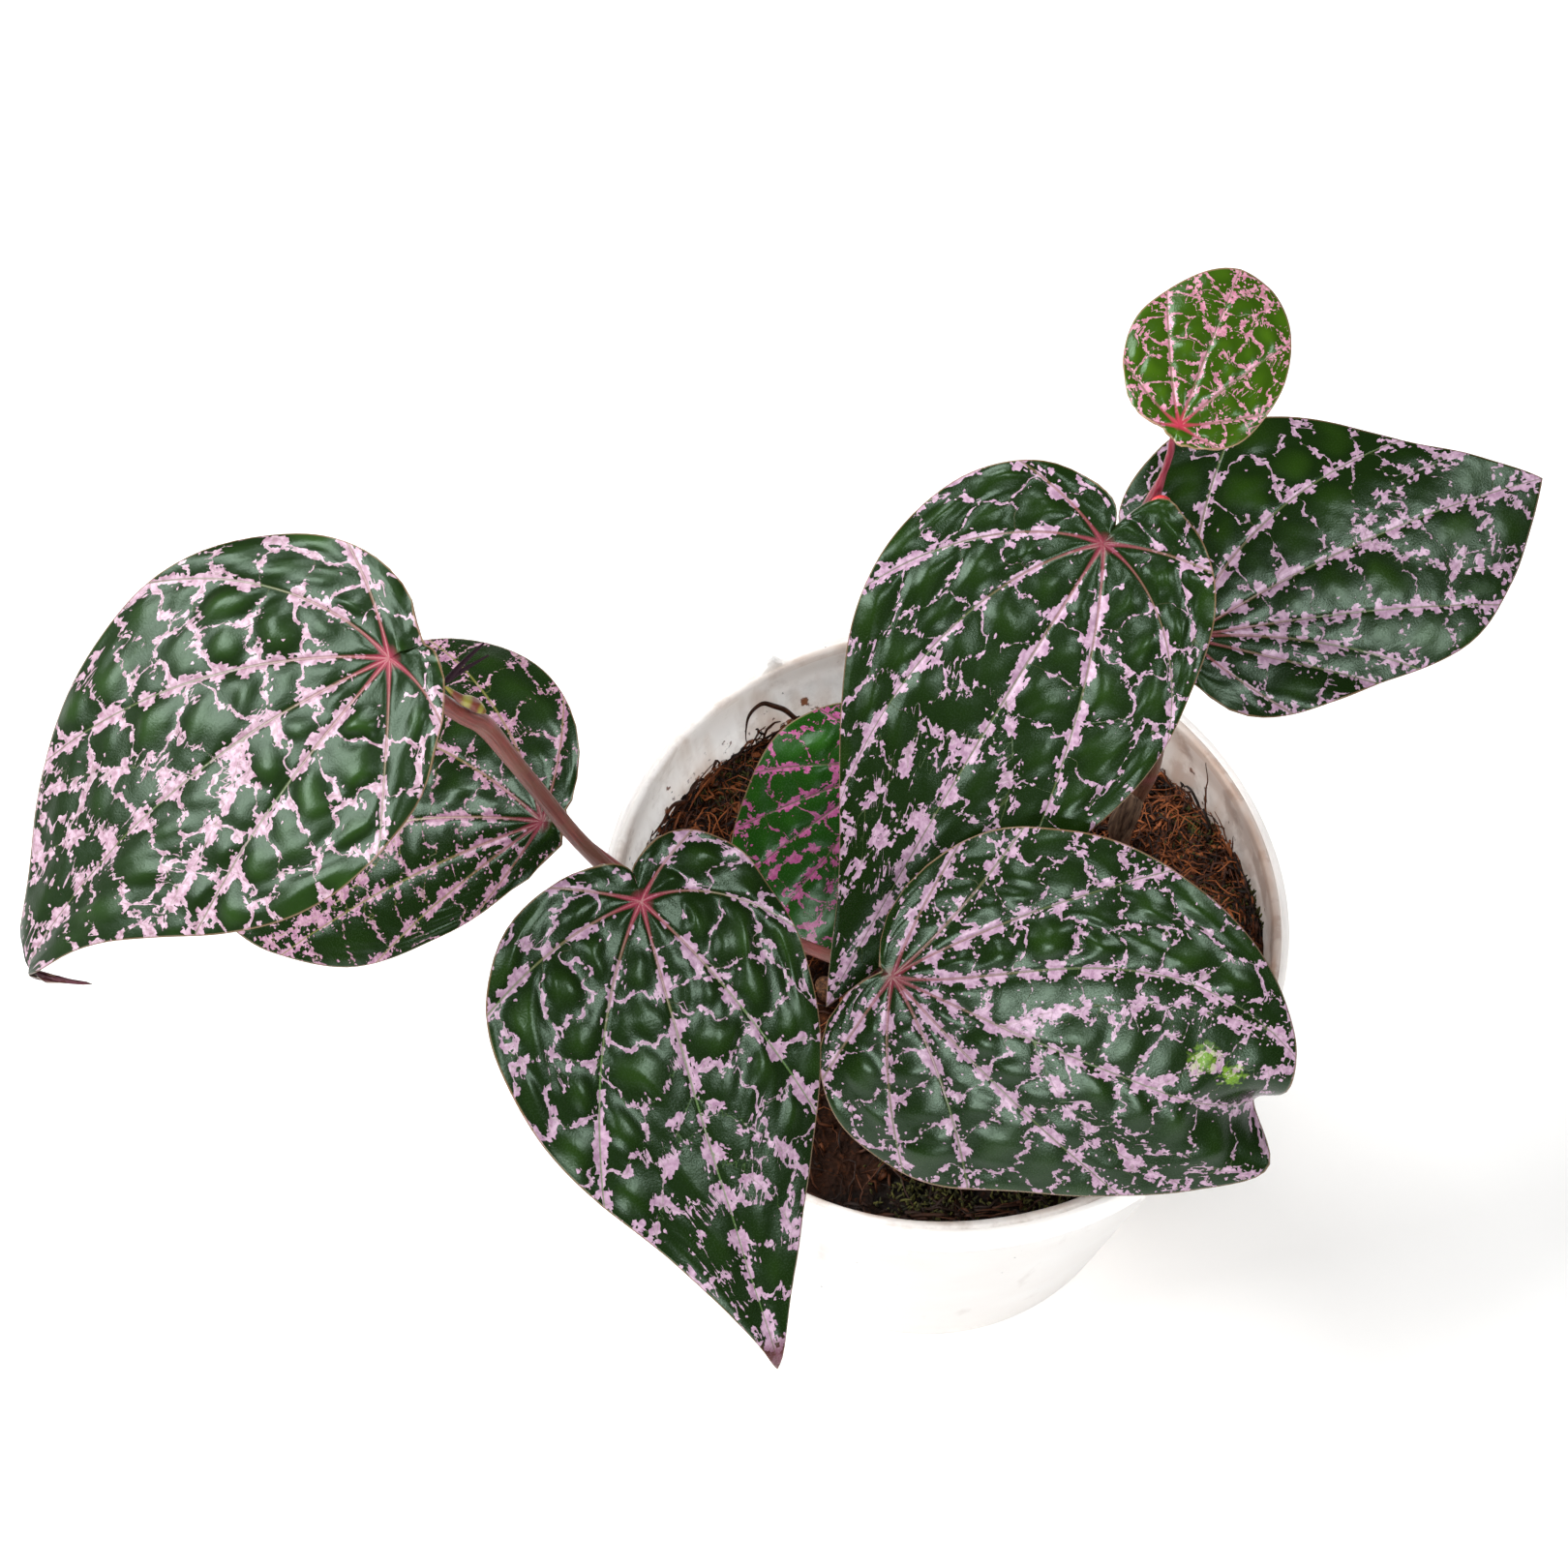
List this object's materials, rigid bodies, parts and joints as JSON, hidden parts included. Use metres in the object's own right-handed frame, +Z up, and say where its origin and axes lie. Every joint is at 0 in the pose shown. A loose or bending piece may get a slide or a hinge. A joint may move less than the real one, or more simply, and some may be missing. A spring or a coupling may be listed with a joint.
{
  "type": "potted houseplant",
  "caption": "Young red betel vine with heart-shaped dark green leaves patterned in pink, in a round white plastic nursery pot of fibre.",
  "frame": {"origin": "middle of the flat underside of the pot", "axes": "+Z up along the pot's axis, -Y towards the side that the picture looks at, +X to its right"},
  "size_m": [0.3003, 0.1915, 0.2746],
  "materials": {
    "pot_plastic": "satin white moulded plastic, a little stained inside",
    "potting_fibre": "rough brown coconut fibre and dark humus",
    "young_stem": "smooth red-brown green stem",
    "dead_stem": "dry brown stem",
    "dark_blade": "satin dark green leaf with pink and silver beside its veins",
    "young_blade": "glossy bright green young leaf with a thin pink net",
    "bud_scale": "smooth yellow-green bud scale",
    "dry_spur": "dry purple-black spur",
    "red_sheath": "soft bright red young sheath"
  },
  "bodies": {
    "root": {"pot": "pot_plastic", "soil": "potting_fibre", "shoot_left": "young_stem", "shoot_right": "young_stem", "dead_stub": "dead_stem", "leaf_far_left": "dark_blade", "leaf_under_left": "dark_blade", "leaf_front": "dark_blade", "leaf_centre": "dark_blade", "leaf_front_right": "dark_blade", "leaf_rear_right": "dark_blade", "leaf_young": "young_blade", "leaf_low": "young_blade", "side_bud": "bud_scale", "bud_spurs": "dry_spur", "young_sheath": "red_sheath"}
  },
  "joints": []
}
